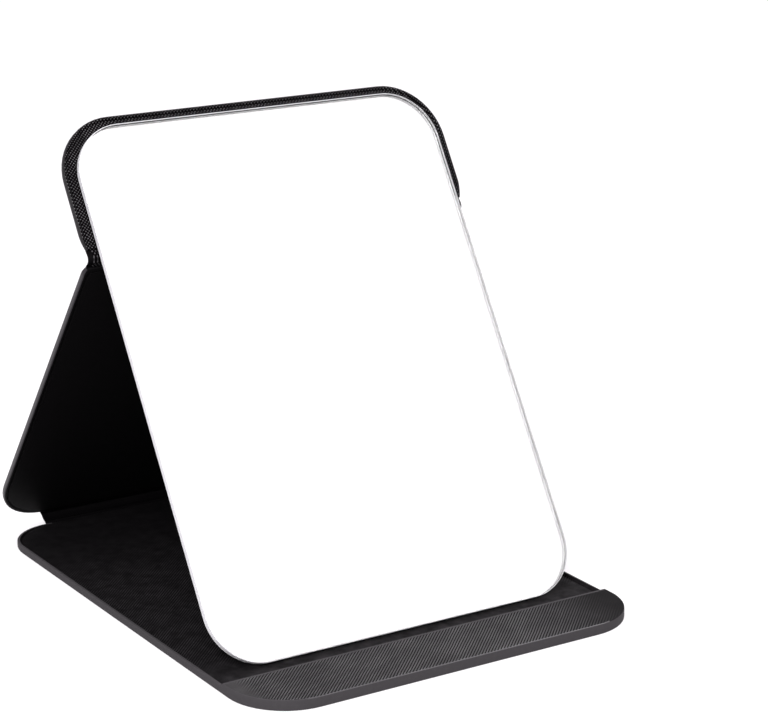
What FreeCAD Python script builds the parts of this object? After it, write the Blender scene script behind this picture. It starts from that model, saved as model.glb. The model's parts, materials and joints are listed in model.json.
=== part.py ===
import FreeCAD, Part
import math
import os
import Sketcher

# Folding desk mirror: a book of three covered boards that stands as a triangle.
# The base lies on the desk, the leg leans forward from a narrow spine at the rear, and the flap
# turns back at the top of the leg.  The mirror is glued to the flap and its foot stands on the base.
# Frame: X to the right, Y to the rear, Z up, origin at the centre of the base's underside.

doc = FreeCAD.newDocument("FoldingDeskMirror")

# Driving dimensions, in millimetres and degrees
DRIVING = {
    "panel_width": 155.0,
    "base_length": 200.0,
    "panel_corner_radius": 22.0,
    "fold_corner_radius": 3.0,
    "skin_thickness": 0.4,
    "board_thickness": 1.0,
    "lining_thickness": 0.3,
    "lining_inset": 2.0,
    "lining_corner_radius": 1.5,
    "turn_in": 8.0,
    "turn_in_corner_radius": 4.0,
    "bar_width": 26.0,
    "bar_board_thickness": 2.1,
    "bar_corner_radius": 1.0,
    "bar_edge_radius": 0.6,
    "bar_gap": 0.3,
    "spine_rise": 34.5,
    "spine_end_inset": 20.7,
    "spine_fold_margin": 1.5,
    "spine_fold_radius": 0.9,
    "closing_clearance": 0.1,
    "foot_setback": 10.2,
    "foot_clearance": 0.15,
    "flap_height": 50.0,
    "cover_fold_margin": 3.5,
    "cover_fold_radius": 3.0,
    "cover_fold_waist": 1.5,
    "mirror_width": 146.0,
    "mirror_height": 193.0,
    "mirror_corner_radius": 19.0,
    "mirror_top_margin": 4.1,
    "glass_thickness": 2.6,
    "glass_arris": 0.4,
    "silvering_thickness": 0.1,
    "backing_thickness": 0.2,
    "coat_inset": 0.3,
    "tape_thickness": 0.5,
    "tape_width": 9.0,
    "tape_length": 118.0,
    "tape_end_gap": 4.0,
}
TAPE_STRIPS = 3

# What follows from them: thicknesses, lengths, and where each fold and panel stands.
# A fold's place is the line that the two panels beside it turn about.
following = {
    "wrap_thickness": "Sizes.skin_thickness + Sizes.board_thickness",
    "panel_thickness": "wrap_thickness + Sizes.lining_thickness",
    "coat_level": "panel_thickness + Sizes.tape_thickness",
    "silvering_level": "coat_level + Sizes.backing_thickness",
    "glass_level": "silvering_level + Sizes.silvering_thickness",
    "closed_gap": "glass_level + Sizes.glass_thickness - panel_thickness + Sizes.closing_clearance",
    "spine_pitch": "2 * panel_thickness - Sizes.skin_thickness + closed_gap",
    "spine_strip": "spine_pitch - 2 * Sizes.spine_fold_margin",
    "spine_length": "Sizes.panel_width - 2 * Sizes.spine_end_inset",
    "leg_reach": "Sizes.base_length - Sizes.flap_height",
    "leg_length": "leg_reach - Sizes.cover_fold_margin",
    "flap_length": "Sizes.flap_height - Sizes.cover_fold_margin",
    "spine_depth": "Sizes.skin_thickness / 2",
    "cover_depth": "(Sizes.skin_thickness + Sizes.lining_thickness) / 2",
    "spine_direction": "Sizes.spine_rise * 1 deg",
    "lower_fold_y": "Sizes.base_length / 2 + Sizes.spine_fold_margin",
    "lower_fold_z": "spine_depth",
}


def step(point, start, direction, ahead, inward):
    """Adds a point that lies ahead of another along a direction, and inward from it."""
    way = (start, ahead, direction, inward, direction)
    following[point + "_y"] = "%s_y + %s * cos(%s) - %s * sin(%s)" % way
    following[point + "_z"] = "%s_z + %s * sin(%s) + %s * cos(%s)" % way


step("spine", "lower_fold", "spine_direction", "Sizes.spine_fold_margin", "(-spine_depth)")
step("upper_fold", "lower_fold", "spine_direction", "spine_pitch", "0")

# The foot is the rear lower edge of the glass, which stands just clear of the base's lining, a little
# behind the bar.  Base, leg and mirror make a triangle, so the lengths of its three sides, between
# the foot, the upper fold and the cover fold, give the angles at which the leg and the flap lean.
following.update({
    "foot_y": "Sizes.bar_width + Sizes.foot_setback - Sizes.base_length / 2",
    "foot_z": "panel_thickness + Sizes.foot_clearance",
    "base_run": "upper_fold_y - foot_y",
    "base_climb": "upper_fold_z - foot_z",
    "base_side": "sqrt(base_run ^ 2 + base_climb ^ 2)",
    "leg_run": "leg_reach + Sizes.spine_fold_margin",
    "leg_shift": "cover_depth - spine_depth",
    "leg_side": "sqrt(leg_run ^ 2 + leg_shift ^ 2)",
    "mirror_run": "Sizes.mirror_height - Sizes.flap_height + Sizes.mirror_top_margin",
    "mirror_shift": "glass_level - cover_depth",
    "mirror_side": "sqrt(mirror_run ^ 2 + mirror_shift ^ 2)",
    "rear_corner": "acos((leg_side ^ 2 + base_side ^ 2 - mirror_side ^ 2) / (2 * leg_side * base_side))",
    "leg_lean": "rear_corner - atan(base_climb / base_run) + atan(leg_shift / leg_run)",
    "leg_direction": "180 deg - leg_lean",
    "upper_turn": "leg_direction - spine_direction",
})
step("leg", "upper_fold", "leg_direction", "Sizes.spine_fold_margin", "(-spine_depth)")
step("cover_fold", "leg", "leg_direction", "leg_reach", "cover_depth")
following.update({
    "flap_direction": "acos((cover_fold_y - foot_y) / mirror_side) + atan(mirror_shift / mirror_run)",
    "cover_turn": "leg_direction - flap_direction",
})
step("flap", "cover_fold", "flap_direction", "Sizes.cover_fold_margin", "(-cover_depth)")
following.update({
    "mirror_top": "flap_length - Sizes.mirror_top_margin",
    "mirror_foot": "mirror_top - Sizes.mirror_height",
    "tape_pitch": "(mirror_top - 2 * Sizes.tape_end_gap - Sizes.tape_width) / %d" % (TAPE_STRIPS - 1),
})


def make_sheet(name, cells):
    """A sheet with a name in column A and its value, under that name, in column B."""
    sheet = doc.addObject("Spreadsheet::Sheet", name)
    for row, (alias, content) in enumerate(cells.items(), start=1):
        sheet.set("A%d" % row, alias)
        sheet.set("B%d" % row, content)
        sheet.setAlias("B%d" % row, alias)
    doc.recompute()
    return sheet


make_sheet("Sizes", {alias: str(size) for alias, size in DRIVING.items()})
stance = make_sheet("Stance", {alias: "=" + formula for alias, formula in following.items()})


def number(expression):
    """The plain number that an expression of the two sheets gives."""
    result = stance.evalExpression(expression)
    return getattr(result, "Value", result)


def placed(panel):
    """A panel's place: its length runs along its direction in the YZ plane, its outer face at level 0."""
    y, z, direction = (number("Stance.%s_%s" % (panel, item)) for item in ("y", "z", "direction"))
    return FreeCAD.Placement(FreeCAD.Vector(0, y, z), FreeCAD.Rotation(FreeCAD.Vector(1, 0, 0), direction))


FLAT = FreeCAD.Placement()
SPINE = placed("spine")
LEG = placed("leg")
FLAP = placed("flap")

sub_parts = []


def new_body(name, placement):
    """An empty body that becomes one sub-part."""
    body = doc.addObject("PartDesign::Body", name)
    body.Label = name
    body.Placement = placement
    sub_parts.append(body)
    return body


def plane_sketch(body, name, level):
    """A sketch on the body's XY plane, raised to a level."""
    sketch = body.newObject("Sketcher::SketchObject", name)
    plane = next(item for item in body.Origin.OriginFeatures if item.Role == "XY_Plane")
    sketch.AttachmentSupport = [(plane, "")]
    sketch.MapMode = "FlatFace"
    sketch.setExpression(".AttachmentOffset.Base.z", level)
    return sketch


def bind(sketch, kind, references, expression):
    """A sketch dimension that takes its value from the sheets."""
    index = sketch.addConstraint(Sketcher.Constraint(kind, *references, number(expression)))
    sketch.setExpression("Constraints[%d]" % index, expression)


ORIGIN = (-1, 1)
START, END, CENTRE = 1, 2, 3


def rounded_outline(body, name, level, half_width, ends, radii):
    """A closed outline across X: straight sides, two ends along Y, and a radius at each end's corners."""
    sketch = plane_sketch(body, name, level)
    half = number(half_width)
    near, far = (number(end) for end in ends)
    near_radius, far_radius = (number(radius) for radius in radii)

    # The four sides, anticlockwise from the near end, then the arc after each of them
    corners = [
        (FreeCAD.Vector(half, near), near_radius),
        (FreeCAD.Vector(half, far), far_radius),
        (FreeCAD.Vector(-half, far), far_radius),
        (FreeCAD.Vector(-half, near), near_radius),
    ]
    along = [FreeCAD.Vector(1, 0), FreeCAD.Vector(0, 1), FreeCAD.Vector(-1, 0), FreeCAD.Vector(0, -1)]
    for side, way in enumerate(along):
        before, before_radius = corners[side - 1]
        after, after_radius = corners[side]
        sketch.addGeometry(Part.LineSegment(before + way * before_radius, after - way * after_radius))
    for side, (corner, radius) in enumerate(corners):
        turned = along[(side + 1) % 4]
        centre = corner - along[side] * radius + turned * radius
        circle = Part.Circle(centre, FreeCAD.Vector(0, 0, 1), radius)
        opening = (side - 1) * math.pi / 2
        sketch.addGeometry(Part.ArcOfCircle(circle, opening, opening + math.pi / 2))

    for side in range(4):
        arc = 4 + side
        sketch.addConstraint(Sketcher.Constraint("Tangent", side, END, arc, START))
        sketch.addConstraint(Sketcher.Constraint("Tangent", arc, END, (side + 1) % 4, START))
        sketch.addConstraint(Sketcher.Constraint("Horizontal" if side % 2 == 0 else "Vertical", side))
    sketch.addConstraint(Sketcher.Constraint("Equal", 4, 7))
    sketch.addConstraint(Sketcher.Constraint("Equal", 5, 6))
    bind(sketch, "Radius", (4,), radii[0])
    bind(sketch, "Radius", (5,), radii[1])
    bind(sketch, "DistanceX", (*ORIGIN, 1, START), half_width)
    bind(sketch, "DistanceX", (3, START, *ORIGIN), half_width)
    bind(sketch, "DistanceY", (*ORIGIN, 0, START), ends[0])
    bind(sketch, "DistanceY", (*ORIGIN, 2, START), ends[1])
    return sketch


def pad(body, sketch, height):
    """Material from the sketch upward."""
    feature = body.newObject("PartDesign::Pad", sketch.Name + "_pad")
    feature.Profile = sketch
    feature.setExpression("Length", height)
    return feature


def pocket(body, sketch, depth):
    """Material taken from the sketch downward; it has to make the body smaller."""
    doc.recompute()
    before = body.Shape.Volume
    feature = body.newObject("PartDesign::Pocket", sketch.Name + "_pocket")
    feature.Profile = sketch
    feature.setExpression("Length", depth)
    doc.recompute()
    if body.Shape.Volume >= before:
        raise RuntimeError("%s cuts nothing" % feature.Name)
    return feature


def ease_edges(body, kind, size_name, size, levels):
    """A fillet or chamfer on every edge that lies in the body's top or bottom plane."""
    doc.recompute()
    plain = body.Tip
    heights = [getattr(plain.Shape.BoundBox, level) for level in levels]
    names = []
    for place, edge in enumerate(plain.Shape.Edges, start=1):
        box = edge.BoundBox
        if box.ZLength < FLATNESS and any(abs(box.ZMin - height) < FLATNESS for height in heights):
            names.append("Edge%d" % place)
    eased = body.newObject("PartDesign::" + kind, body.Name + "_edges")
    eased.Base = (plain, names)
    eased.setExpression(size_name, size)


FLATNESS = 1e-6
HALF_PANEL = "Sizes.panel_width / 2"
PANEL_RADIUS = "Sizes.panel_corner_radius"
FOLD_RADIUS = "Sizes.fold_corner_radius"


def inset(half_width, ends, radii, gap):
    """The same outline drawn a gap further in."""
    return (
        "%s - %s" % (half_width, gap),
        ("%s + %s" % (ends[0], gap), "%s - %s" % (ends[1], gap)),
        tuple("%s - %s" % (radius, gap) for radius in radii),
    )


def wrapped_board(panel, ends, radii, placement):
    """A board and the skin wrapped round it.

    The skin covers the outer face, goes round every edge and is turned in over the inner face,
    where it lies in a rebate of the board so that board and skin are level for the lining.
    """
    core = inset(HALF_PANEL, ends, radii, "Sizes.skin_thickness")
    window_half, window_ends, _ = inset(HALF_PANEL, ends, radii, "Sizes.turn_in")
    window = (window_half, window_ends, ("Sizes.turn_in_corner_radius",) * 2)

    board = new_body(panel + "_board", placement)
    full = rounded_outline(board, panel + "_board_outline", "Sizes.skin_thickness", *core)
    pad(board, full, "Sizes.board_thickness - Sizes.skin_thickness")
    raised = rounded_outline(board, panel + "_board_raised", "Sizes.board_thickness", *window)
    pad(board, raised, "Sizes.skin_thickness")

    skin = new_body(panel + "_skin", placement)
    outside = rounded_outline(skin, panel + "_skin_outline", "0", HALF_PANEL, ends, radii)
    pad(skin, outside, "Stance.wrap_thickness")
    opening = rounded_outline(skin, panel + "_skin_opening", "Stance.wrap_thickness", *window)
    pocket(skin, opening, "Sizes.skin_thickness")
    hollow = rounded_outline(skin, panel + "_skin_hollow", "Sizes.board_thickness", *core)
    pocket(skin, hollow, "Sizes.board_thickness - Sizes.skin_thickness")


def lining(panel, ends, radii, placement):
    """The sheet on a panel's inner face, which stops short of the panel's edges."""
    body = new_body(panel + "_lining", placement)
    half = "%s - Sizes.lining_inset" % HALF_PANEL
    sketch = rounded_outline(body, panel + "_lining_outline", "Stance.wrap_thickness", half, ends, radii)
    pad(body, sketch, "Sizes.lining_thickness")


# Base panel and the raised bar along its front edge
BASE_FRONT = "-Sizes.base_length / 2"
BASE_REAR = "Sizes.base_length / 2"
BAR_REAR = "%s + Sizes.bar_width" % BASE_FRONT
INSET_RADIUS = "%s - Sizes.lining_inset" % PANEL_RADIUS

wrapped_board("base", (BASE_FRONT, BASE_REAR), (PANEL_RADIUS, PANEL_RADIUS), FLAT)
lining(
    "base",
    ("%s + Sizes.bar_gap" % BAR_REAR, "%s - Sizes.lining_inset" % BASE_REAR),
    ("Sizes.lining_corner_radius", INSET_RADIUS),
    FLAT,
)


def stop_bar():
    """A strip of board along the front edge, under a skin of its own that is flush with the base's edge."""
    ends = (BASE_FRONT, BAR_REAR)
    radii = (PANEL_RADIUS, "Sizes.bar_corner_radius")
    core = inset(HALF_PANEL, ends, radii, "Sizes.skin_thickness")

    board = new_body("stop_bar_board", FLAT)
    strip = rounded_outline(board, "stop_bar_board_outline", "Stance.wrap_thickness", *core)
    pad(board, strip, "Sizes.bar_board_thickness")

    skin = new_body("stop_bar_skin", FLAT)
    foot = "Stance.wrap_thickness"
    outside = rounded_outline(skin, "stop_bar_skin_outline", foot, HALF_PANEL, ends, radii)
    pad(skin, outside, "Sizes.bar_board_thickness + Sizes.skin_thickness")
    hollow = rounded_outline(skin, "stop_bar_skin_hollow", foot + " + Sizes.bar_board_thickness", *core)
    pocket(skin, hollow, "Sizes.bar_board_thickness")
    ease_edges(skin, "Fillet", "Radius", "Sizes.bar_edge_radius", ("ZMax",))


stop_bar()


def spine_sheet(name, level, thickness):
    """A flat strip of the spine, between its two folds."""
    box = doc.addObject("Part::Box", name)
    box.Label = name
    box.setExpression("Length", "Stance.spine_length")
    box.setExpression("Width", "Stance.spine_strip")
    box.setExpression("Height", thickness)
    corner = FreeCAD.Vector(-number("Stance.spine_length") / 2, 0, number(level))
    box.Placement = SPINE.multiply(FreeCAD.Placement(corner, FreeCAD.Rotation()))
    sub_parts.append(box)


spine_sheet("spine_skin", "0", "Sizes.skin_thickness")
spine_sheet("spine_lining", "Sizes.skin_thickness", "Sizes.lining_thickness")


# Leg and flap panels, which meet at the cover fold
def cover_panel(panel, length, radii, placement):
    """A panel of the cover: board, skin and lining from its lower edge to its upper one."""
    wrapped_board(panel, ("0", length), radii, placement)
    ends = ("Sizes.lining_inset", "%s - Sizes.lining_inset" % length)
    lining(panel, ends, tuple("%s - Sizes.lining_inset" % radius for radius in radii), placement)


cover_panel("leg", "Stance.leg_length", (PANEL_RADIUS, FOLD_RADIUS), LEG)
cover_panel("flap", "Stance.flap_length", (FOLD_RADIUS, PANEL_RADIUS), FLAP)


def fold_band(name, fold, direction, turn, mean_radius, margin, layer, width):
    """A bent strip between two panels: straight, round the bend, straight.

    fold is the line that the panels turn about, where the strips' mid-lines would cross.
    direction is the strip's first direction, and it turns left by turn, about the bend's centre.
    layer is the strip's inner and outer distance from the mid-line, away from the centre.
    """
    body = new_body(name, FLAT)
    sketch = plane_sketch(body, name + "_section", "0")
    inner = "(%s + %s)" % (mean_radius, layer[0])
    outer = "(%s + %s)" % (mean_radius, layer[1])
    straight = "%s - %s * tan(%s / 2)" % (margin, mean_radius, turn)
    angle = number(turn)
    run = number(straight)
    way = FreeCAD.Vector(math.cos(math.radians(angle)), math.sin(math.radians(angle)))
    quarter = math.pi / 2
    for radius in (number(outer), number(inner)):
        arrive = FreeCAD.Vector(0, -radius)
        leave = FreeCAD.Vector(way.y, -way.x) * radius
        circle = Part.Circle(FreeCAD.Vector(), FreeCAD.Vector(0, 0, 1), radius)
        sketch.addGeometry(Part.LineSegment(arrive - FreeCAD.Vector(run, 0), arrive))
        sketch.addGeometry(Part.ArcOfCircle(circle, -quarter, math.radians(angle) - quarter))
        sketch.addGeometry(Part.LineSegment(leave, leave + way * run))
    outer_in, outer_arc, outer_out, inner_in, inner_arc, inner_out = range(6)
    drawn = sketch.Geometry
    near_end = sketch.addGeometry(Part.LineSegment(drawn[inner_in].StartPoint, drawn[outer_in].StartPoint))
    far_end = sketch.addGeometry(Part.LineSegment(drawn[outer_out].EndPoint, drawn[inner_out].EndPoint))

    for arriving, arc, leaving in ((outer_in, outer_arc, outer_out), (inner_in, inner_arc, inner_out)):
        sketch.addConstraint(Sketcher.Constraint("Tangent", arriving, END, arc, START))
        sketch.addConstraint(Sketcher.Constraint("Tangent", arc, END, leaving, START))
        sketch.addConstraint(Sketcher.Constraint("Coincident", arc, CENTRE, *ORIGIN))
    sketch.addConstraint(Sketcher.Constraint("Coincident", near_end, START, inner_in, START))
    sketch.addConstraint(Sketcher.Constraint("Coincident", near_end, END, outer_in, START))
    sketch.addConstraint(Sketcher.Constraint("Coincident", far_end, START, outer_out, END))
    sketch.addConstraint(Sketcher.Constraint("Coincident", far_end, END, inner_out, END))
    sketch.addConstraint(Sketcher.Constraint("Horizontal", outer_in))
    sketch.addConstraint(Sketcher.Constraint("Horizontal", inner_in))
    sketch.addConstraint(Sketcher.Constraint("Vertical", near_end))
    sketch.addConstraint(Sketcher.Constraint("Parallel", outer_out, inner_out))
    sketch.addConstraint(Sketcher.Constraint("Perpendicular", far_end, outer_out))
    bind(sketch, "Radius", (outer_arc,), outer)
    bind(sketch, "Radius", (inner_arc,), inner)
    bind(sketch, "Distance", (outer_in, START, outer_in, END), straight)
    bind(sketch, "Distance", (outer_out, START, outer_out, END), straight)
    index = sketch.addConstraint(
        Sketcher.Constraint("Angle", outer_in, START, outer_out, START, math.radians(angle))
    )
    sketch.setExpression("Constraints[%d]" % index, turn)
    feature = pad(body, sketch, width)
    feature.Midplane = True

    # The bend's centre lies off the fold line, towards the inside of the turn
    heading = math.radians(number(direction))
    reach = number(mean_radius) / math.cos(math.radians(angle) / 2)
    aside = heading + math.radians(angle) / 2 + quarter
    centre = FreeCAD.Vector(
        0,
        number("Stance.%s_y" % fold) + reach * math.cos(aside),
        number("Stance.%s_z" % fold) + reach * math.sin(aside),
    )
    along = FreeCAD.Vector(0, math.cos(heading), math.sin(heading))
    left = FreeCAD.Vector(0, -math.sin(heading), math.cos(heading))
    rotation = FreeCAD.Rotation(along, left, FreeCAD.Vector(1, 0, 0), "XYZ")
    body.Placement = FreeCAD.Placement(centre, rotation)


SPINE_MARGIN = "Sizes.spine_fold_margin"
SPINE_RADIUS = "Sizes.spine_fold_radius"
SPINE_LAYER = ("(-Stance.spine_depth)", "Stance.spine_depth")
fold_band(
    "lower_spine_fold", "lower_fold", "0", "Stance.spine_direction",
    SPINE_RADIUS, SPINE_MARGIN, SPINE_LAYER, "Stance.spine_length",
)
fold_band(
    "upper_spine_fold", "upper_fold", "Stance.spine_direction", "Stance.upper_turn",
    SPINE_RADIUS, SPINE_MARGIN, SPINE_LAYER, "Stance.spine_length",
)

# The cover fold runs down from the flap to the leg and turns about a centre behind the panels,
# so its skin is the layer nearest that centre and its lining the layer outside it.
COVER_LAYERS = {
    "cover_fold_skin": ("(-Stance.cover_depth)", "(Sizes.skin_thickness - Stance.cover_depth)"),
    "cover_fold_lining": ("(Sizes.skin_thickness - Stance.cover_depth)", "Stance.cover_depth"),
}
for layer_name, layer_span in COVER_LAYERS.items():
    fold_band(
        layer_name, "cover_fold", "Stance.flap_direction + 180 deg", "Stance.cover_turn",
        "Sizes.cover_fold_radius", "Sizes.cover_fold_margin", layer_span,
        "Sizes.panel_width - 2 * Sizes.cover_fold_waist",
    )


# The mirror on the flap: tape, safety film, silvering and glass
def mounting_tape():
    """Strips of double-sided tape across the flap, evenly spaced."""
    strips = []
    for place in range(TAPE_STRIPS):
        strip = doc.addObject("Part::Box", "tape_strip_%d" % (place + 1))
        strip.setExpression("Length", "Sizes.tape_length")
        strip.setExpression("Width", "Sizes.tape_width")
        strip.setExpression("Height", "Sizes.tape_thickness")
        strip.setExpression(".Placement.Base.x", "-Sizes.tape_length / 2")
        strip.setExpression(".Placement.Base.y", "Sizes.tape_end_gap + %d * Stance.tape_pitch" % place)
        strip.setExpression(".Placement.Base.z", "Stance.panel_thickness")
        strips.append(strip)
    tape = doc.addObject("Part::Compound", "mounting_tape")
    tape.Label = "mounting_tape"
    tape.Links = strips
    tape.Placement = FLAP
    sub_parts.append(tape)


def mirror_sheet(name, level, thickness, gap):
    """A sheet of the mirror's own outline, drawn a gap further in."""
    body = new_body(name, FLAP)
    ends = ("Stance.mirror_foot", "Stance.mirror_top")
    radii = ("Sizes.mirror_corner_radius",) * 2
    outline = inset("Sizes.mirror_width / 2", ends, radii, gap)
    pad(body, rounded_outline(body, name + "_outline", level, *outline), thickness)
    return body


mounting_tape()
mirror_sheet("mirror_backing", "Stance.coat_level", "Sizes.backing_thickness", "Sizes.coat_inset")
mirror_sheet("mirror_silvering", "Stance.silvering_level", "Sizes.silvering_thickness", "Sizes.coat_inset")
glass = mirror_sheet("mirror_glass", "Stance.glass_level", "Sizes.glass_thickness", "0")
ease_edges(glass, "Chamfer", "Size", "Sizes.glass_arris", ("ZMin", "ZMax"))

doc.recompute()


def failed(item):
    """Whether the document gave up on an object."""
    return "Invalid" in item.State or "Error" in item.State


broken = [item.Name for item in doc.Objects if failed(item)]
broken += [item.Label for item in sub_parts if item.Shape.isNull() or not item.Shape.isValid()]
if broken:
    raise RuntimeError("not built: %s" % ", ".join(broken))

os.makedirs("parts", exist_ok=True)
for item in sub_parts:
    item.Shape.exportStep("parts/%s.step" % item.Label)
    print("%-18s %d solid(s) %10.1f mm3" % (item.Label, len(item.Shape.Solids), item.Shape.Volume))

for fold in ("lower_fold", "upper_fold", "cover_fold"):
    print("%s axis at y %.4f z %.4f" % (fold, number("Stance.%s_y" % fold), number("Stance.%s_z" % fold)))
for angle in ("spine_direction", "upper_turn", "cover_turn", "leg_lean", "flap_direction"):
    print("%s %.4f degrees" % (angle, number("Stance." + angle)))
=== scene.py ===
# %% [markdown]
# # A folding desk mirror
# The object is a small book of three covered boards that stands as a triangle: a base on the desk, a
# leg that leans forward from a narrow spine, and a flap that turns back at the top of the leg and
# carries a glass mirror.  This lesson dresses the exact solids of that object in leather, glass and light.
# The solids give the sizes and the places, and the photograph gives the tones.

# %% Load the solids
import json
import math

import bmesh
import bpy
from mathutils import Matrix, Vector


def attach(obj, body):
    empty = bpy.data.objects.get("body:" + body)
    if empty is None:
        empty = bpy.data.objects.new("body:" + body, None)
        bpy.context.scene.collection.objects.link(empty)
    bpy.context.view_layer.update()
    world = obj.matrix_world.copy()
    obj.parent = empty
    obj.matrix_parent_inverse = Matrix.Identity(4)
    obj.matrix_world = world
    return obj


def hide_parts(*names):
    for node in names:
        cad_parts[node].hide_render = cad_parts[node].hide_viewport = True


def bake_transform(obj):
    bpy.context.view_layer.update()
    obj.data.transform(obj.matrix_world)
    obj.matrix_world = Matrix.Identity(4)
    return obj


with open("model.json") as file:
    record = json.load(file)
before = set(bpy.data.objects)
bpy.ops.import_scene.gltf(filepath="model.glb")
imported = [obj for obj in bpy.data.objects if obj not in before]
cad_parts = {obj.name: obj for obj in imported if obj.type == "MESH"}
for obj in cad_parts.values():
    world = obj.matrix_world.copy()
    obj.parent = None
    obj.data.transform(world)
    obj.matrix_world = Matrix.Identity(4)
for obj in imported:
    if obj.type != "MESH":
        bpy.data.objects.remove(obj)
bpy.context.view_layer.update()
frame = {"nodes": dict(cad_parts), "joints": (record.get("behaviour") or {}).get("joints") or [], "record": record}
MM = 0.001

# %% [markdown]
# ## Where the panels stand
# The case lies open and flat on the desk when every fold is at the end of its travel.  So the travel of
# each fold is the angle between its two panels, and the folds' own lines say where each panel starts.
# A panel could be placed by typing those angles in, but reading them from the joints keeps the leather
# on the boards if the stand is ever changed.

# %% Read the folds
folds = {joint["name"]: joint for joint in frame["joints"]}
follow = frame["record"]["behaviour"]["couplings"][0]


def fold_line(name):
    """The middle of the line that two panels turn about."""
    return Vector(folds[name]["pos_m"])


lower_turn = math.radians(folds["lower_spine_hinge"]["range_deg"][1])
upper_turn = math.radians(folds["upper_spine_hinge"]["range_deg"][1])
cover_turn = upper_turn * follow["ratio"]
spine_angle = lower_turn
leg_angle = spine_angle + upper_turn
flap_angle = leg_angle - cover_turn
standing = [round(math.degrees(angle), 2) for angle in (spine_angle, leg_angle, flap_angle)]
print("spine, leg and flap stand at", standing)

# %% [markdown]
# ## A frame for each panel
# Every panel is easiest to think of lying on a table: X across it, Y along it, and Z from its outer face
# to its inner face.  A matrix then stands it up.  The corner of that frame is found from the solid
# itself, by turning its points into the panel's own directions and taking the lowest ones.

# %% Place the panels


def span(node, place):
    """Lowest and highest corner of a solid, in a panel's own directions."""
    back = place.inverted()
    points = [back @ vertex.co for vertex in frame["nodes"][node].data.vertices]
    low, high = (Vector([pick(p[axis] for p in points) for axis in range(3)]) for pick in (min, max))
    return low, high


def panel_place(node, start, angle):
    """The frame of a panel whose outer face starts at the solid's lower edge."""
    turned = Matrix.Translation(start) @ Matrix.Rotation(angle, 4, "X")
    low, _ = span(node, turned)
    return turned @ Matrix.Translation((0, low.y, low.z))


BASE = panel_place("base_skin", Vector(), 0)
SPINE = panel_place("spine_skin", fold_line("lower_spine_hinge"), spine_angle)
LEG = panel_place("leg_skin", fold_line("upper_spine_hinge"), leg_angle)
FLAP = panel_place("flap_skin", fold_line("cover_hinge"), flap_angle)
for name, place in (("base_skin", BASE), ("spine_skin", SPINE), ("leg_skin", LEG), ("flap_skin", FLAP)):
    low, high = span(name, place)
    print(name, "measures", [round(side / MM, 2) for side in high - low], "mm")

# %% [markdown]
# ## Helpers for the finishes
# Colours are written as the sRGB hex values that a colour picker shows, and one function turns them into
# the linear light that a shader works with.  Another function adds a node with its settings and its
# links, so that each finish below reads as a list of what it is made of.  On the real films and coats the
# tone, the gloss and the relief change together, so one more function feeds all three from one pattern.

# %% Colour and node helpers


def linear(hex_colour):
    """A hex colour such as #1d1c1f as linear red, green, blue and alpha."""
    shares = [int(hex_colour[place:place + 2], 16) / 255 for place in (1, 3, 5)]
    return [s / 12.92 if s <= 0.04045 else ((s + 0.055) / 1.055) ** 2.4 for s in shares] + [1.0]


def add_node(material, kind, settings, **links):
    """Adds a node; settings name its properties or inputs, links name the inputs that other nodes feed."""
    node = material.node_tree.nodes.new(kind)
    for name, value in settings.items():
        if hasattr(node, name):
            setattr(node, name, value)
        else:
            node.inputs[int(name) if name.isdigit() else name].default_value = value
    for name, source in links.items():
        target = node.inputs[int(name[1:]) if name[1:].isdigit() else name.replace("_", " ")]
        material.node_tree.links.new(source, target)
    return node


def new_finish(name, **sockets):
    """A material, its shader with the sockets that are the same all over, and the places on its piece."""
    material = bpy.data.materials.new(name)
    material.use_nodes = True
    shader = material.node_tree.nodes["Principled BSDF"]
    for socket, value in sockets.items():
        shader.inputs[socket.replace("_", " ")].default_value = value
    places = add_node(material, "ShaderNodeTexCoord", {}).outputs["Object"]
    return material, shader, places


def feed_shader(material, shader, pattern, tones, roughness, relief):
    """Feeds a shader's colour, roughness and normal from one pattern, which runs from 0 to 1."""
    dark, pale = (linear(tone) for tone in tones)
    colour = add_node(material, "ShaderNodeMix", {"data_type": "RGBA", "6": dark, "7": pale}, _0=pattern)
    rough = add_node(
        material, "ShaderNodeMapRange", {"To Min": roughness[0], "To Max": roughness[1]}, Value=pattern
    )
    links = material.node_tree.links
    links.new(colour.outputs[2], shader.inputs["Base Color"])
    links.new(rough.outputs[0], shader.inputs["Roughness"])
    if relief:
        bump = add_node(
            material, "ShaderNodeBump", {"Strength": 1.0, "Distance": relief}, Height=pattern
        )
        links.new(bump.outputs["Normal"], shader.inputs["Normal"])


print("black leather in linear light:", [round(c, 4) for c in linear("#1d1c1f")])

# %% [markdown]
# ## Embossed polyurethane leather
# The case is covered in polyurethane leather: a black film on a knitted back, pressed under a roller that
# leaves a lattice of small rounded grains.  The rows of grains run across the panel's corners and are
# about 0.92 mm apart in the photograph.  An image of leather could be used, but a pattern made from the
# real spacing stays sharp at any distance and follows every panel.

# %% Draw the lattice of grains
GRAIN_PITCH = 0.92 * MM
ROW_TURN = math.radians(45)
WANDER_SIZE = 6.0 * MM
WANDER_REACH = 0.25 * MM
HALF_PITCH = 0.5
# Between which shares of the pitch a grain's flank rises
ROUND_FLANK = (0.08, 0.4)
NARROW_FLANK = (0.18, 0.46)


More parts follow.
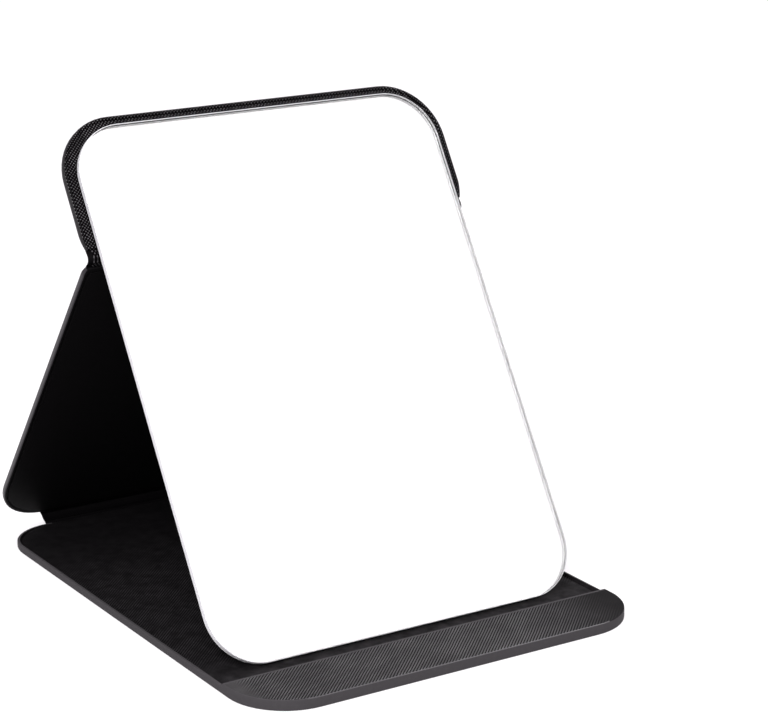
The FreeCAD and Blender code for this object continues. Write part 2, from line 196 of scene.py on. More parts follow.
def grain_lattice(material, places, flank):
    """The height of a lattice of grains."""
    # The film gives a little under the roller, so the rows wander
    wander = add_node(
        material, "ShaderNodeTexNoise", {"Scale": 1 / WANDER_SIZE, "Detail": 1.0}, Vector=places
    )
    shifted = add_node(
        material, "ShaderNodeVectorMath",
        {"operation": "MULTIPLY_ADD", "1": (WANDER_REACH, WANDER_REACH, 0)},
        _0=wander.outputs["Color"], _2=places,
    )
    turned = add_node(
        material, "ShaderNodeMapping",
        {"Rotation": (0, 0, ROW_TURN), "Scale": (1 / GRAIN_PITCH, 1 / GRAIN_PITCH, 0)},
        Vector=shifted.outputs["Vector"],
    )
    across = add_node(material, "ShaderNodeSeparateXYZ", {}, Vector=turned.outputs["Vector"])

    # A grain stands where two crossing waves are both high
    crests = []
    for axis in "XY":
        wave = add_node(
            material, "ShaderNodeMath", {"operation": "PINGPONG", "1": HALF_PITCH}, _0=across.outputs[axis]
        )
        crest = add_node(
            material, "ShaderNodeMapRange",
            {"interpolation_type": "SMOOTHSTEP", "From Min": flank[0], "From Max": flank[1]},
            Value=wave.outputs[0],
        )
        crests.append(crest.outputs[0])
    grains = add_node(material, "ShaderNodeMath", {"operation": "MULTIPLY"}, _0=crests[0], _1=crests[1])
    return grains.outputs[0]


print("grains across a panel:", round(span("leg_skin", LEG)[1].x * 2 / GRAIN_PITCH))

# %% [markdown]
# ## Wear on the leather
# The lattice isn't even on the real case.  It flattens towards the ends of the bar, where the film is
# stretched over a corner, and in front of the mirror's foot, which rubs it.  At the bar's right end and
# near the spine it also sinks to near black, which is painted shade.
# On the lining and on the border it is patchy too, because their film was glued on by hand, and the glue
# lifts some grains more than others.  A painted map could say where, but a few places along the panel and a
# noise of a real size can be read and changed.

# %% Wear the lattice down
# The size of the patches, and the share of a grain's height that is left in the lowest and in the highest
EVEN_WEAR = (9.0 * MM, 0.7, 1.0)
PATCHY_WEAR = (4.0 * MM, 0.4, 1.25)
# Nearly all values of a noise lie between these two
NOISE_LOW = 0.3
NOISE_HIGH = 0.7


def flatten(material, places, grains, flats):
    """Grains that die out along an axis of the panel, from one place to another, to leave one level."""
    along = add_node(material, "ShaderNodeSeparateXYZ", {}, Vector=places)
    for axis, begin, end, level in flats:
        flatness = add_node(
            material, "ShaderNodeMapRange",
            {"interpolation_type": "SMOOTHSTEP", "From Min": begin, "From Max": end},
            Value=along.outputs[axis],
        )
        mixed = add_node(material, "ShaderNodeMix", {"3": level}, _0=flatness.outputs[0], _2=grains)
        grains = mixed.outputs[0]
    return grains


def wear_down(material, places, grains, wear):
    """Grains of which some patches lie lower than others."""
    size, lowest, highest = wear
    patches = add_node(material, "ShaderNodeTexNoise", {"Scale": 1 / size, "Detail": 3.0}, Vector=places)
    left = add_node(
        material, "ShaderNodeMapRange",
        {"From Min": NOISE_LOW, "From Max": NOISE_HIGH, "To Min": lowest, "To Max": highest},
        Value=patches.outputs["Fac"],
    )
    worn = add_node(material, "ShaderNodeMath", {"operation": "MULTIPLY"}, _0=grains, _1=left.outputs[0])
    return worn.outputs[0]


print("worn patches:", [round(wear[0] / MM, 1) for wear in (EVEN_WEAR, PATCHY_WEAR)], "mm wide")

# %% [markdown]
# ## Four states of one film
# To the eye embossed leather is a satin black: light catches the tops of the grains, and the pits between
# them stay dark, because little light gets into them or out again.  That is why the gloss falls with the
# height too.  The colour follows the height as well, so the pale tops are painted light and the dark pits
# painted shade.  The case shows this film in four states.  Each could be drawn from the start, but they
# differ only in tone, sheen and wear, so one function makes them all.  Part of their tone is painted light
# and shade too, as each one says.

# %% Make the leather
GRAIN_RELIEF = 0.06 * MM
# From the pits to the tops of the grains
GRAIN_ROUGHNESS = (0.7, 0.45)
PIT_SHINE = 0.02


def embossed_leather(name, pit, grain, shine, wear, flank=ROUND_FLANK, flats=()):
    """Polyurethane leather with a worn lattice of grains."""
    material, shader, places = new_finish(name, IOR=1.5)
    grains = flatten(material, places, grain_lattice(material, places, flank), flats)
    height = wear_down(material, places, grains, wear)
    feed_shader(material, shader, height, (pit, grain), GRAIN_ROUGHNESS, GRAIN_RELIEF)
    gloss = add_node(material, "ShaderNodeMapRange", {"To Min": PIT_SHINE, "To Max": shine}, Value=height)
    material.node_tree.links.new(gloss.outputs[0], shader.inputs["Specular IOR Level"])
    return material


# The outside of the case: the lattice is the film's own, and the pale grey of its grain tops is painted light
painted_light_cover = embossed_leather("embossed_pu_leather_cover_with_painted_light", "#161418", "#7a777e", 0.25, EVEN_WEAR)
# The bar's top: a mid grey lattice on black, with little sheen, smooth at both ends, and near black at the
# right one, which is painted shade
left_end = ("X", -69 * MM, -75 * MM, 0.3)
# Towards the right end the grains sink to near black: painted shade
painted_shade_bar_right = ("X", 36 * MM, 76 * MM, 0.06)
bar_leather = embossed_leather(
    "embossed_pu_leather_bar", "#0b0a0b", "#5e5c5e", 0.15, EVEN_WEAR, flats=[left_end, painted_shade_bar_right]
)
# The base's lining: a faint lattice, drawn near black, partly painted shade of the stand over it
foot_rub = ("Y", 52 * MM, 38 * MM, 0.3)
# Towards the spine the grains sink to near black: painted shade under the leg and the mirror
painted_shade_lining_rear = ("Y", 110 * MM, 180 * MM, 0.08)
painted_shade_base_lining = embossed_leather(
    "embossed_pu_leather_lining_with_painted_shade", "#080708", "#302e30", 0.12, PATCHY_WEAR, flats=[foot_rub, painted_shade_lining_rear]
)
# The border round the mirror: no hand has rubbed it, so its narrow grains still glint
border_leather = embossed_leather(
    "embossed_pu_leather_border", "#040304", "#545254", 0.7, PATCHY_WEAR, NARROW_FLANK
)
embossed_films = (painted_light_cover, bar_leather, painted_shade_base_lining, border_leather)
print("embossed:", [film.name for film in embossed_films])

# %% [markdown]
# ## Leather at the folds
# At the spine and at the crease the same film has no board behind it.  Bending it again and again has
# flattened the grains there, and left fine wrinkles that run along the fold.  A painted line could stand
# for each wrinkle, but a stretched noise draws them all: long along X, and less than a millimetre across.

# %% Make the fold leather
WRINKLE_WIDTH = 0.8 * MM
WRINKLE_LENGTH = 26.0 * MM
WRINKLE_RELIEF = 0.05 * MM
FOLD_ROUGHNESS = (0.42, 0.58)


def creased_leather(name, dark, pale, shine):
    """Polyurethane leather that folding has made smooth, with wrinkles along the fold."""
    material, shader, places = new_finish(name, IOR=1.5, Specular_IOR_Level=shine)
    drawn = add_node(
        material, "ShaderNodeMapping",
        {"Scale": (1 / WRINKLE_LENGTH, 1 / WRINKLE_WIDTH, 1 / WRINKLE_WIDTH)}, Vector=places,
    )
    wrinkles = add_node(
        material, "ShaderNodeTexNoise", {"Scale": 1.0, "Detail": 3.0}, Vector=drawn.outputs["Vector"]
    )
    feed_shader(material, shader, wrinkles.outputs["Fac"], (dark, pale), FOLD_ROUGHNESS, WRINKLE_RELIEF)
    return material


# The spine: the fold film drawn a paler dull grey, which is painted light
painted_light_spine_fold = creased_leather("creased_pu_leather_spine_with_painted_light", "#2b292c", "#393639", 0.4)
# The crease over the top of the stand: the fold film drawn a deeper black, which is painted shade
painted_shade_crease = creased_leather("creased_pu_leather_crease_with_painted_shade", "#131113", "#1d1b1d", 0.3)
# The inside of every fold: black and dull, which is painted shade
fold_lining = creased_leather("creased_pu_leather_lining_with_painted_shade", "#030203", "#070607", 0.06)
print("made", painted_light_spine_fold.name, painted_shade_crease.name, "and", fold_lining.name)

# %% [markdown]
# ## The mirror's own layers
# A glass mirror is a stack: float glass, a chemical silver coat, and black backing paint under a safety
# film that holds the pieces if it breaks.  The faces of the glass are as smooth as fire leaves them.
# Its edge is ground on a belt, which leaves it frosted, so it glows pale grey where light enters it.  The
# backing paint runs a little way over the ground rim at the back, thin enough to look grey.  Beside the
# flap it is drawn near black instead, which is painted shade for the flap's black leather close behind it.
# The reflection could be faked with a white picture, but real glass over real silver also shows the thin
# dark line where the two part at the rim.

# %% Make glass, silver and backing
# Belt scratches are nearer 0.05 mm wide, too fine to show, so they are drawn coarser
GRIT_SIZE = 0.25 * MM
GRIT_RELIEF = 0.01 * MM
PEEL_SIZE = 1.6 * MM
PEEL_RELIEF = 0.006 * MM
SWIRL_SIZE = 40.0 * MM


def mottled(name, size, dark, pale, roughness, relief=0.0, detail=2.0, **sockets):
    """A finish with a soft mottle of two tones and a real grain size, that also varies gloss and height."""
    material, shader, places = new_finish(name, **sockets)
    grain = add_node(material, "ShaderNodeTexNoise", {"Scale": 1 / size, "Detail": detail}, Vector=places)
    feed_shader(material, shader, grain.outputs["Fac"], (dark, pale), roughness, relief)
    return material


# Fire-polished glass: clear and flat, with hardly a ripple
float_glass = mottled(
    "float_glass_polished", SWIRL_SIZE, "#fbfcfc", "#fdfdfd", (0.0, 0.004),
    IOR=1.52, Transmission_Weight=1.0,
)
# Ground glass: frosted, so it looks pale and almost solid
ground_edge = mottled(
    "float_glass_ground_edge", GRIT_SIZE, "#d6d5d9", "#e0dfe3", (0.45, 0.6), GRIT_RELIEF,
    IOR=1.52, Transmission_Weight=0.4,
)
# Plated silver: a clean white reflection
silver_coat = mottled(
    "silver_chemically_plated", SWIRL_SIZE, "#f4f4f2", "#f8f8f7", (0.0, 0.006), Metallic=1.0
)
# Paint drawn out thin over ground glass: a soft grey
thin_paint = mottled(
    "backing_paint_over_ground_glass", GRIT_SIZE, "#858487", "#8f8e91", (0.45, 0.6), GRIT_RELIEF, IOR=1.52
)
# The same paint beside the flap, drawn near black: a fine dark line of painted shade for the leather
painted_shade_arris = mottled(
    "backing_paint_with_painted_shade", GRIT_SIZE, "#0c0c0d", "#131314", (0.45, 0.6), GRIT_RELIEF, IOR=1.52
)
# Rolled paint under a film: black, with a faint orange peel
backing_paint = mottled(
    "backing_paint_under_film", PEEL_SIZE, "#0c0c0d", "#131314", (0.3, 0.42), PEEL_RELIEF, IOR=1.5
)
mirror_finishes = (float_glass, ground_edge, silver_coat, thin_paint, painted_shade_arris, backing_paint)
print("mirror finishes:", [finish.name for finish in mirror_finishes])

# %% [markdown]
# ## Stretched leather
# Where the film is drawn round a board's rim it is stretched, and the grains are pulled flat.  The smooth
# film scatters more light than the pits of the grain do, so a rim reads as an even band.  Part of the rims'
# tones is painted light and shade: the base's rim is a paler grey that is painted sheen, the turn over it
# carries a painted highlight, and the right rim's top is drawn darker as painted shade.  The back of the
# flap and the leg's lining show no grain in the photograph either, so they are the same film, left plain,
# and drawn near black as painted shade.  One flat black would do for none of them, so each has its own two
# tones and its own sheen, in a soft mottle.

# %% Make the stretched leather
STRETCH_SIZE = 1.4 * MM
STRETCH_RELIEF = 0.004 * MM


def smooth_leather(name, dark, pale, roughness, shine):
    """Polyurethane leather without grain, for the stretched rims and for the plain films painted as shade."""
    return mottled(
        name, STRETCH_SIZE, dark, pale, roughness, STRETCH_RELIEF, IOR=1.5, Specular_IOR_Level=shine
    )


# The leg's rim: a dark satin
edge_leather = smooth_leather("stretched_pu_leather_edge", "#221f22", "#2a272a", (0.32, 0.42), 0.2)
# The base's rim: a paler matt grey than the other rims, which is painted sheen, as its own is nearly off
painted_sheen_base_rim = smooth_leather("pu_leather_base_rim_with_painted_sheen", "#363436", "#3c3a3c", (0.5, 0.6), 0.03)
# The right rim's top: the base's rim film drawn darker, which is painted shade
painted_shade_rim_top = smooth_leather("pu_leather_rim_top_with_painted_shade", "#1a181a", "#1f1d1f", (0.5, 0.6), 0.03)
# The turn over the base's rim: a paler, glossier film, a painted highlight on the lamps' fine pale line
painted_highlight_turn = smooth_leather("pu_leather_turn_with_painted_highlight", "#343134", "#403d40", (0.28, 0.38), 0.5)
# The flap's rim: a black satin
eased_leather = smooth_leather("eased_pu_leather_edge", "#0f0d0f", "#151315", (0.36, 0.46), 0.15)
# The back of the flap: the cover film drawn plain and near black, painted shade, with a soft sheen
painted_shade_flap_back = smooth_leather("plain_pu_leather_flap_back_with_painted_shade", "#0f0e0f", "#151315", (0.45, 0.55), 0.15)
# The leg's lining: the lining film drawn plain, black and dull, which is painted shade
painted_shade_leg_lining = smooth_leather("plain_pu_leather_leg_lining_with_painted_shade", "#070607", "#0b0a0b", (0.5, 0.6), 0.05)
rim_films = (edge_leather, painted_sheen_base_rim, painted_shade_rim_top, painted_highlight_turn, eased_leather)
print("rims:", [film.name for film in rim_films], "plain:", painted_shade_flap_back.name, painted_shade_leg_lining.name)

# %% [markdown]
# ## Board and tape
# Inside the leather are sheets of grey board: waste paper pulped and rolled hard, with short pale and dark
# fibres in it.  The mirror is held to the flap by strips of white foam tape, whose closed cells give a fine
# open grain.  Both hide under the covers, where one flat grey could do.  But the parts may be shown with the
# covers taken off, so each has its own tones and grain.

# %% Make board and tape
FIBRE_SIZE = 1.1 * MM
FIBRE_RELIEF = 0.02 * MM
FIBRE_DETAIL = 5.0
CELL_SIZE = 0.5 * MM
CELL_RELIEF = 0.03 * MM
# Rolled pulp: dull grey, flecked with fibres
grey_board = mottled(
    "grey_board_rolled_pulp", FIBRE_SIZE, "#7d776d", "#a39c90", (0.85, 0.95), FIBRE_RELIEF, FIBRE_DETAIL,
    IOR=1.5,
)
# Closed-cell foam: white and matt, with a fine open grain
foam_tape = mottled(
    "polyethylene_foam_tape", CELL_SIZE, "#dcdcd8", "#f0f0ec", (0.7, 0.85), CELL_RELIEF, IOR=1.5
)
print("hidden finishes:", grey_board.name, foam_tape.name)

# %% [markdown]
# ## Drawing a covered panel
# A covered board is its outline, swept by the section of its edge: across the outer face, round the edge,
# and in over the inner face.  A cube with a bevel could stand for it, but the outline has large round
# corners at one end and draws in to a waist at a fold, so the outline is drawn point by point.  Left and
# right points pair up, so that a face can be closed by strips that run straight across the panel.

# %% Outline helpers
CORNER_STEPS = 14
LEAST_RADIUS = 0.3 * MM
ON_THE_EDGE = 0.01 * MM


def quarter_turn(steps):
    """Angles from 0 to 90 degrees."""
    return [math.pi / 2 * step / steps for step in range(steps + 1)]


def round_corner(radius):
    """A corner that turns on an arc."""
    def points(half, end, inward, inset):
        reach = max(radius - inset, LEAST_RADIUS)
        centre = (half - inset - reach, end + inward * (inset + reach))
        turn = quarter_turn(CORNER_STEPS)
        return [(centre[0] + reach * math.sin(a), centre[1] - inward * reach * math.cos(a)) for a in turn]
    return points


def waist_corner(depth, length):
    """A corner that draws in gently towards a fold."""
    def points(half, end, inward, inset):
        reach = max(length - inset, LEAST_RADIUS)
        shares = [step / CORNER_STEPS for step in range(CORNER_STEPS + 1)]
        return [(half - inset - depth * (1 - s) ** 2, end + inward * (inset + reach * s)) for s in shares]
    return points


def outline(half, ends, corners, inset, stations=()):
    """Points up the right side of a panel and down its left, drawn an inset further in."""
    near = corners[0](half, ends[0], 1, inset)
    far = corners[1](half, ends[1], -1, inset)
    right = near + [(half - inset, y) for y in stations] + far[::-1]
    return right + [(-x, y) for x, y in reversed(right)]


def end_radius(node, place, far):
    """The radius of a solid's corners at one end, from where that end's straight edge stops."""
    low, high = span(node, place)
    end = high.y if far else low.y
    back = place.inverted()
    points = [back @ vertex.co for vertex in frame["nodes"][node].data.vertices]
    return high.x - max(p.x for p in points if abs(p.y - end) < ON_THE_EDGE)


panel_radius = end_radius("flap_skin", FLAP, True)
glass_radius = end_radius("mirror_glass", FLAP, True)
print("corner radii:", round(panel_radius / MM, 2), "mm panel,", round(glass_radius / MM, 2), "mm glass")

# %% [markdown]
# ## Rings and faces
# The section of an edge becomes a stack of rings, each an inset of the outline at its own level.  The
# rings are joined by four-sided faces, and an extra ring just inside each round edge keeps its soft
# shading from spreading over the flat face beside it.  A ring's level is measured from the outer face, or
# from one of two lists of levels along the outline: the top of the rim, or the inner face inside it.

# %% Mesh helpers
EDGE_STEPS = 5
EDGE_SUPPORT = 0.25 * MM
SMOOTH_LIMIT = math.radians(32)


def edge_section(radius, steps=EDGE_STEPS):
    """Inset and depth of each ring round an edge, with the face that the depth is measured from."""
    lower = [(radius * (1 - math.sin(a)), radius * (1 - math.cos(a)), "outer") for a in quarter_turn(steps)]
    upper = [(inset, depth, "inner") for inset, depth, _ in reversed(lower)]
    support = radius + EDGE_SUPPORT
    return [(support, 0.0, "outer")] + lower + upper + [(support, 0.0, "inner")]


def side_count(stations=()):
    """How many points lie on one side of an outline."""
    return 2 * (CORNER_STEPS + 1) + len(stations)


def ring_stack(mesh, shape, section, levels):
    """Rings of vertices for a section, whose depths are measured from the levels that it names."""
    half, ends, corners, stations = shape
    rings = []
    for inset, depth, face in section:
        points = outline(half, ends, corners, inset, stations)
        side = [level + depth if face == "outer" else level - depth for level in levels[face]]
        heights = side + side[::-1]
        rings.append([mesh.verts.new((x, y, z)) for (x, y), z in zip(points, heights)])
    return rings


def flat_levels(stations=(), **levels):
    """Levels that are the same all round an outline."""
    return {face: [level] * side_count(stations) for face, level in levels.items()}


def join_rings(mesh, rings, finish=0):
    """Faces between each ring and the next."""
    for first, second in zip(rings, rings[1:]):
        for place in range(len(first)):
            corners = (first[place - 1], first[place], second[place], second[place - 1])
            mesh.faces.new(corners).material_index = finish


def close_across(mesh, ring, last, finish=0):
    """Strips across a ring, from its near end to its last pair of points."""
    for place in range(last):
        corners = (ring[place], ring[place + 1], ring[-place - 2], ring[-place - 1])
        mesh.faces.new(corners).material_index = finish


def finish_piece(mesh, name, place, finishes):
    """Turns the faces outward, shades round edges softly and puts the piece in its panel's frame."""
    bmesh.ops.recalc_face_normals(mesh, faces=mesh.faces)
    data = bpy.data.meshes.new(name)
    mesh.to_mesh(data)
    mesh.free()
    data.polygons.foreach_set("use_smooth", [True] * len(data.polygons))
    data.set_sharp_from_angle(angle=SMOOTH_LIMIT)
    for finish in finishes:
        data.materials.append(finish)
    piece = bpy.data.objects.new(name, data)
    piece.matrix_world = place
    bpy.context.scene.collection.objects.link(piece)
    print("made", name, "with", len(data.polygons), "faces")
    return piece


print("points down one side of a plain panel:", side_count())

# %% [markdown]
# ## The leg's and the flap's covers
# On the real case a board is laid on the leather, the edges are glued, turned over the board's rim and
# pressed down on the inner face, about 8 mm in.  Several layers lie on each other at the rim, so it stands
# proud of the lining, and sinks to the lining's level beside a fold.  The cover here is the same: an open
# sheet with a window on the inner face, thickened inward by the film's real thickness so that the board
# just fits in it.  Three films dress each sheet: one outside, one round the rim and one inside.

# %% Wrap a sheet round a board
COVER_EDGE = 0.4 * MM
TURN_IN = 8.0 * MM
RIM_WIDTH = 1.0 * MM
RIM_FOOT = 1.5 * MM
# A face whose middle is this near the panel's middle line crosses the panel's end
MIDDLE_LINE = 1.0 * MM
OUTSIDE, RIM, INSIDE, TURN, TOP, CREST = range(6)

edge = edge_section(COVER_EDGE)
rim_section = [(inset, depth, "rim" if face == "inner" else face) for inset, depth, face in edge]
rim_section.append((RIM_WIDTH, 0.0, "rim"))
inner_section = [(RIM_FOOT, 0.0, "inner"), (TURN_IN, 0.0, "inner")]


def rim_corners(level, rise, at_fold):
    """Levels of the rim round the corners of an end, from the end to the side."""
    shares = [step / CORNER_STEPS if at_fold else 1.0 for step in range(CORNER_STEPS + 1)]
    return [level + rise * share for share in shares]


def wrap_sheet(shape, levels, at_folds, smooth):
    """A sheet round a board: the outer face, some smooth rings of rim, and the inner face.

    At an end that has a fold, the rim takes the finish of the inner face.
    """
    mesh = bmesh.new()
    rings = ring_stack(mesh, shape, rim_section + inner_section, levels)
    join_rings(mesh, rings[:smooth], RIM)
    join_rings(mesh, rings[smooth - 1:], INSIDE)
    close_across(mesh, rings[0], side_count(shape[3]) - 1, OUTSIDE)
    bmesh.ops.recalc_face_normals(mesh, faces=mesh.faces)
    for face in mesh.faces:
        middle = face.calc_center_median()
        far = middle.y > sum(shape[1]) / 2
        if face.material_index == RIM and abs(middle.x) < MIDDLE_LINE and at_folds[far]:
            face.material_index = INSIDE
    return mesh, rings


print("rings round a rim:", len(rim_section), "and", len(inner_section), "on the inner face")

# %% Make the leg's and the flap's covers
RIM_RISE = 0.7 * MM
CREASE_WAIST = 1.0 * MM
LEG_WAIST_LENGTH = 3.0 * MM
FLAP_WAIST_LENGTH = 6.0 * MM
skin_low, skin_high = span("spine_skin", SPINE)
skin_thickness = skin_high.z - skin_low.z
# The flat top of the rim, the last two rings of its section, has the inner face's film
round_rings = len(rim_section) - 2


def dress_cover(mesh, name, place, films, body, *nodes):
    """Gives a wrapped sheet its finishes, its thickness and its place."""
    piece = finish_piece(mesh, name, place, films)
    film = piece.modifiers.new("film", "SOLIDIFY")
    film.thickness = skin_thickness
    film.offset = -1.0
    film.use_even_offset = True
    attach(piece, body)
    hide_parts(*nodes)


def wrapped_cover(name, node, place, corners, at_folds, films, body):
    """The cover of a panel that is the same height all over."""
    low, high = span(node, place)
    levels = flat_levels(outer=low.z, inner=high.z)
    near, far = (rim_corners(high.z, RIM_RISE, at_fold) for at_fold in at_folds)
    levels["rim"] = near + far[::-1]
    mesh, _ = wrap_sheet((high.x, (low.y, high.y), corners, ()), levels, at_folds, round_rings)
    dress_cover(mesh, name, place, films, body, node)


leg_waist = waist_corner(CREASE_WAIST, LEG_WAIST_LENGTH)
flap_waist = waist_corner(CREASE_WAIST, FLAP_WAIST_LENGTH)
panel_corner = round_corner(panel_radius)
leg_ends = (panel_corner, leg_waist)
flap_ends = (flap_waist, panel_corner)
leg_films = [painted_light_cover, edge_leather, painted_shade_leg_lining]
flap_films = [painted_shade_flap_back, eased_leather, border_leather]
wrapped_cover("leg_cover", "leg_skin", LEG, leg_ends, (True, True), leg_films, "leg")
wrapped_cover("flap_cover", "flap_skin", FLAP, flap_ends, (True, False), flap_films, "mirror")

# %% [markdown]
# ## The base's cover and the bar in front
# The base has a raised bar along its front edge, which keeps the mirror's foot from sliding off.  On the
# real case one piece of leather covers both: the rim is one smooth band, tall in front of the bar and lower
# behind it, and the leather drops over the bar's rear edge in a soft step, drawn smooth along its crest.
# Two boxes would leave a seam in that band, so the cover is one sheet whose height changes along its sides.
# The films are then picked by where a face lies and how far it tilts.

# %% Shape the step behind the bar
STEP_LEAN = 0.1 * MM
STEP_CREST = 0.35 * MM
CREST_BAND = 0.9 * MM
STEP_FOOT = 0.25 * MM
STEP_POINTS = 6
base_low, base_high = span("base_skin", BASE)
_, bar_high = span("stop_bar_skin", BASE)
turn = quarter_turn(STEP_POINTS)


def step_down(foot_level):
    """Y and Z down the bar's rear edge, over its crest and into a small hollow at its foot."""
    crest_y = bar_high.y - STEP_LEAN - STEP_CREST
    crest_z = bar_high.z - STEP_CREST
    crest = [(crest_y + STEP_CREST * math.sin(a), crest_z + STEP_CREST * math.cos(a)) for a in turn]
    foot_y = bar_high.y + STEP_FOOT
    foot_z = foot_level + STEP_FOOT
    foot = [(foot_y - STEP_FOOT * math.cos(a), foot_z - STEP_FOOT * math.sin(a)) for a in turn]
    return [(crest_y - CREST_BAND, bar_high.z)] + crest + foot


def base_levels(behind, rise):
    """Levels along the base's side: the bar's top, the step down, and what lies behind it."""
    step = [z for _, z in step_down(behind + rise)]
    return rim_corners(bar_high.z, 0.0, False) + step + rim_corners(behind, rise, True)[::-1]


stations = [y for y, _ in step_down(base_high.z)]
step_height = bar_high.z - base_high.z
print("the step has", len(stations), "points and is", round(step_height / MM, 2), "mm high")

# %% Make the base's cover
BASE_RIM_RISE = 1.3 * MM
# How far a face's direction points up, or to the front, to count as such
UPWARD = 0.2
LEVEL = 0.97
FRONTWARD = 0.985
levels = flat_levels(stations, outer=base_low.z)
levels.update(rim=base_levels(base_high.z, BASE_RIM_RISE), inner=base_levels(base_high.z, 0.0))
shape = (base_high.x, (base_low.y, base_high.y), (panel_corner, panel_corner), stations)
mesh, rings = wrap_sheet(shape, levels, (False, True), len(rim_section))
close_across(mesh, rings[-1], CORNER_STEPS + len(stations), OUTSIDE)
bmesh.ops.recalc_face_normals(mesh, faces=mesh.faces)
for face in mesh.faces:
    middle = face.calc_center_median()
    upward = face.normal.z > UPWARD
    on_bar = upward and middle.z > bar_high.z - STEP_CREST
    at_front = -face.normal.y > FRONTWARD * face.normal.xy.length
    if on_bar and middle.y > stations[0]:
        face.material_index = RIM
    elif on_bar and (face.normal.z > LEVEL or face.material_index == INSIDE):
        face.material_index = TOP
    # The round over the bar's front edge takes the paler film: a painted highlight
    elif on_bar and at_front:
        face.material_index = TURN
    # Upward faces of the right rim take the darker film: painted shade
    elif upward and face.material_index == RIM and middle.x > 0:
        face.material_index = CREST
base_films = [painted_light_cover, painted_sheen_base_rim, painted_shade_base_lining, painted_highlight_turn, bar_leather, painted_shade_rim_top]
dress_cover(mesh, "base_cover", BASE, base_films, "base", "base_skin", "stop_bar_skin")

# %% [markdown]
# ## The linings
# A thinner sheet of the leather is glued over each inner face.  It hides the turned-in edges and stops
# about 2 mm short of the rim.  The base's is embossed and near black, partly painted shade, the leg's is
# plain and black, which is painted shade, and the flap's is the border that shows round the mirror.  Paint
# on the board could stand for them, but each is a thin closed sheet with a cut edge, eased only a little, so
# that it draws a fine line inside the rim.

# %% Make the linings
LINING_EDGE = 0.12 * MM
LINING_STEPS = 3


def lining_sheet(name, node, place, corners, film, body):
    """A glued sheet with eased edges."""
    low, high = span(node, place)
    mesh = bmesh.new()
    shape = (high.x, (low.y, high.y), corners, ())
    section = edge_section(LINING_EDGE, LINING_STEPS)
    rings = ring_stack(mesh, shape, section, flat_levels(outer=low.z, inner=high.z))
    join_rings(mesh, rings)
    for ring in (rings[0], rings[-1]):
        close_across(mesh, ring, side_count() - 1)
    piece = finish_piece(mesh, name, place, [film])
    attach(piece, body)
    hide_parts(node)


lining_corner = round_corner(end_radius("leg_lining", LEG, False))
bar_corner = round_corner(end_radius("base_lining", BASE, False))
base_sheet = (bar_corner, lining_corner)
leg_sheet = (lining_corner, leg_waist)
flap_sheet = (flap_waist, lining_corner)
lining_sheet("base_inner_lining", "base_lining", BASE, base_sheet, painted_shade_base_lining, "base")
lining_sheet("leg_inner_lining", "leg_lining", LEG, leg_sheet, painted_shade_leg_lining, "leg")
lining_sheet("flap_inner_lining", "flap_lining", FLAP, flap_sheet, border_leather, "mirror")

# %% [markdown]
# ## The folds
# Between the panels the leather has no board and simply bends.  A bent strip could be drawn as an arc, but
# then it would not lie flat when the case is opened out.  So each strip is drawn flat, and every point of
# it is turned about the fold by its share of the angle.  Near the middle the strip turns sharply and beside
# it swells a little, which is the soft pillow that a creased cover shows.

# %% Bend a strip
FOLD_STEPS = 24
FOLD_TUCK = 1.0 * MM
FILM, UNDERSIDE = range(2)


def strip_mesh(name, half, path, place, finishes):
    """A strip across X that follows a path of outer and inner points, with rounded side edges."""
    mesh = bmesh.new()
    rows = []
    for outer, inner in path:
        ease = (inner - outer).length / 2
        middle = (outer + inner) / 2
        section = [(half - ease, outer), (half, middle), (half - ease, inner)]
        section += [(-x, point) for x, point in reversed(section)]
        rows.append([mesh.verts.new((x, point.x, point.y)) for x, point in section])
    join_rings(mesh, rows, UNDERSIDE)
    for first, second in zip(rows, rows[1:]):
        mesh.faces.get((first[0], first[-1], second[-1], second[0])).material_index = FILM
    for row in (rows[0], rows[-1]):
        mesh.faces.new(row).material_index = FILM
    return finish_piece(mesh, name, place, finishes)


def bent_path(fold, turn, margin, levels):
    """Outer and inner points of a strip that bends about a fold, in the frame of the panel after it."""
    reach = margin + FOLD_TUCK
    path = []
    for step in range(FOLD_STEPS + 1):
        along = reach * (2 * step / FOLD_STEPS - 1)
        share = min(max((along + margin) / (2 * margin), 0.0), 1.0)
        heading = turn * (share * share * (3 - 2 * share) - 1)
        ahead = Vector((math.cos(heading), math.sin(heading)))
        inward = Vector((-ahead.y, ahead.x))
        path.append([fold.yz + ahead * along + inward * level for level in levels])
    return path


print("a fold is drawn in", FOLD_STEPS, "steps and tucks", FOLD_TUCK / MM, "mm under each board")

# %% Make the folds
FOLD_RECESS = 0.05 * MM


def bent_fold(name, node, joint, half, bend, layer, finishes):
    """A strip of leather that bends between the two panels of a joint."""
    place, turn = bend
    fold = place.inverted() @ fold_line(joint)
    margin = -fold.y
    levels = (layer[0] - fold.z + FOLD_RECESS, layer[1] - fold.z - FOLD_RECESS / 2)
    path = bent_path(fold, turn, margin, levels)
    piece = strip_mesh(name, half, path, place, finishes)
    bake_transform(piece)
    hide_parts(node)


